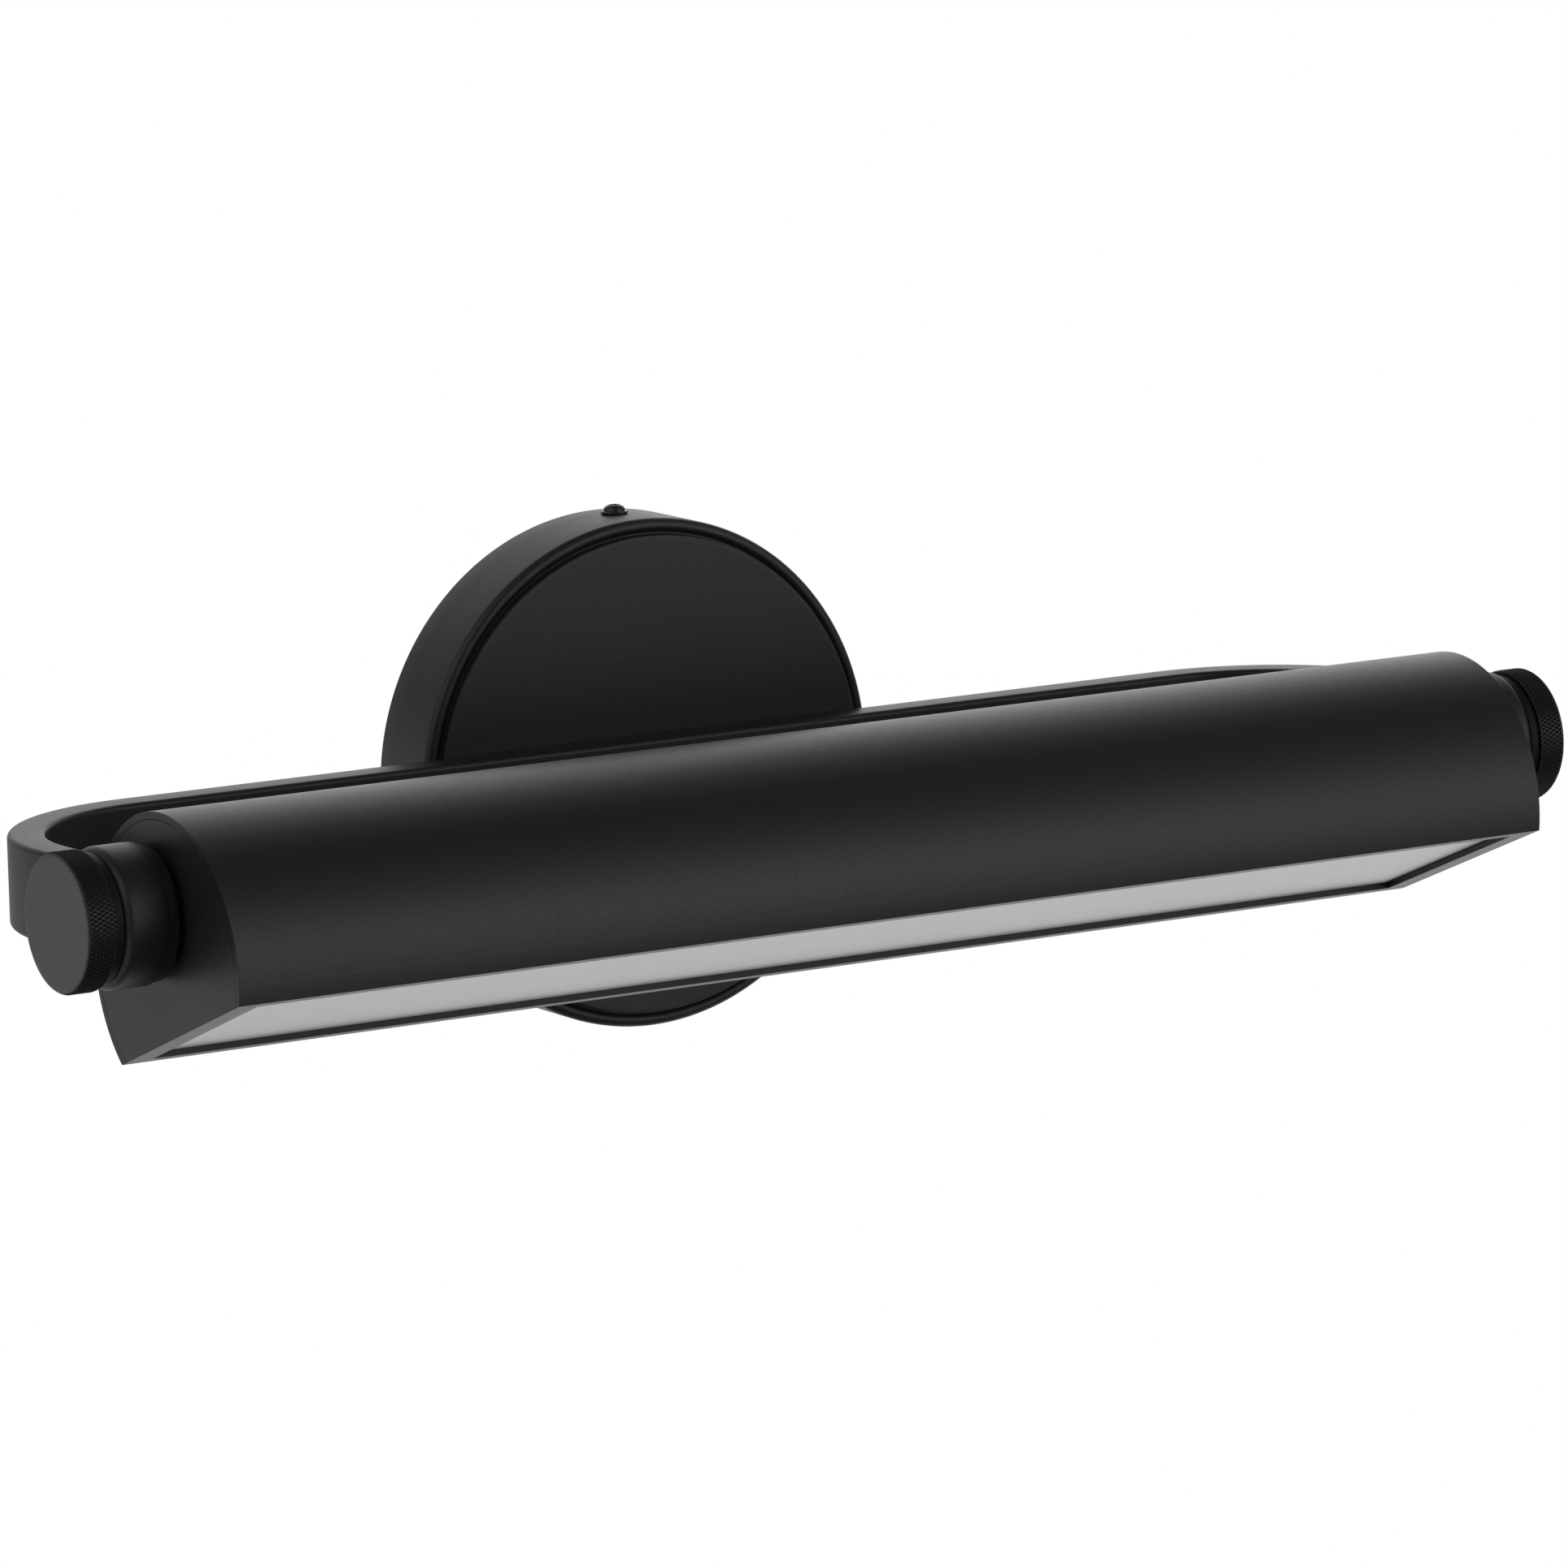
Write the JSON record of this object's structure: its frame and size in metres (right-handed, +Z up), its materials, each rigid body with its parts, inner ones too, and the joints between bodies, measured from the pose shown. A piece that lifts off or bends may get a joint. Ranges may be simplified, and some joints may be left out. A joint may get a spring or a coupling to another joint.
{
  "type": "picture light",
  "caption": "Wall-mounted linear picture light: a round canopy carries a bent tube yoke, and a long half-round LED head tilts between two knurled thumb knobs.",
  "frame": {"origin": "centre of the canopy's open back, on the wall, which is also the centre of the junction box screw slots", "axes": "+X along the light, to the right as seen from the room; +Y into the wall; +Z up"},
  "size_m": [0.414, 0.1478, 0.1316],
  "materials": {
    "black_coat_steel": "matte black powder coat on steel",
    "black_coat_aluminium": "matte black powder coat on aluminium",
    "knurled_black": "matte black coat on a smooth face and a diamond-knurled rim",
    "zinc_steel": "satin zinc plate",
    "black_screw": "satin black oxide",
    "green_screw": "satin green, the colour of a ground screw",
    "white_nylon": "matte",
    "terminal_plastic": "matte",
    "brass_screw": "satin",
    "driver_case": "matte",
    "black_bush": "matte",
    "lead_insulation": "satin, one lead red and one black",
    "supply_insulation": "satin, one lead black and one white",
    "earth_insulation": "satin green",
    "opal_acrylic": "satin opal white",
    "board_white": "white solder mask on aluminium",
    "led_phosphor": "yellow phosphor"
  },
  "bodies": {
    "mount": {"wall_bracket": "zinc_steel", "ground_screw": "green_screw", "terminal_block": "terminal_plastic", "terminal_screws": "brass_screw", "led_driver": "driver_case", "bracket_screws": "zinc_steel", "supply_leads": "supply_insulation", "earth_lead": "earth_insulation", "canopy": "black_coat_steel", "canopy_screws": "black_screw", "yoke_tube": "black_coat_steel", "yoke_nipple": "zinc_steel", "nipple_washer": "zinc_steel", "nipple_nut": "zinc_steel", "nipple_bush": "black_bush", "yoke_screws": "zinc_steel", "yoke_leads": "lead_insulation", "left_eye": "black_coat_steel", "right_eye": "black_coat_steel"},
    "head": {"shade": "black_coat_aluminium", "left_end_cap": "black_coat_aluminium", "right_end_cap": "black_coat_aluminium", "end_cap_screws": "zinc_steel", "left_pivot_stud": "zinc_steel", "right_pivot_stud": "zinc_steel", "pivot_lock_nuts": "zinc_steel", "thrust_washers": "black_coat_steel", "friction_washers": "white_nylon", "stop_pin": "zinc_steel", "led_board": "board_white", "leds": "led_phosphor", "board_screws": "zinc_steel", "diffuser": "opal_acrylic", "lead_grommet": "black_bush", "head_leads": "lead_insulation"},
    "left_collar": {"left_collar": "black_coat_aluminium"},
    "left_knob": {"left_knob": "knurled_black"},
    "right_collar": {"right_collar": "black_coat_aluminium"},
    "right_knob": {"right_knob": "knurled_black"}
  },
  "joints": [
    {"name": "head_tilt", "type": "hinge", "parent": "mount", "child": "head", "pos_m": [0, -0.105, -0.0015], "axis": [1, 0, 0], "range_deg": [-68.8, 111.2]},
    {"name": "left_collar_slide", "type": "slide", "parent": "head", "child": "left_collar", "axis": [-1, 0, 0], "range_m": [0, 0.001]},
    {"name": "left_knob_turn", "type": "hinge", "parent": "left_collar", "child": "left_knob", "pos_m": [-0.1998, -0.105, -0.0015], "axis": [-1, 0, 0], "range_deg": [0, 360]},
    {"name": "right_collar_slide", "type": "slide", "parent": "head", "child": "right_collar", "axis": [1, 0, 0], "range_m": [0, 0.001]},
    {"name": "right_knob_turn", "type": "hinge", "parent": "right_collar", "child": "right_knob", "pos_m": [0.1998, -0.105, -0.0015], "axis": [1, 0, 0], "range_deg": [0, 360]}
  ],
  "couplings": [
    {"joint": "left_knob_turn", "follows": "left_collar_slide", "rad_per_m": 6283},
    {"joint": "right_knob_turn", "follows": "right_collar_slide", "rad_per_m": 6283}
  ]
}
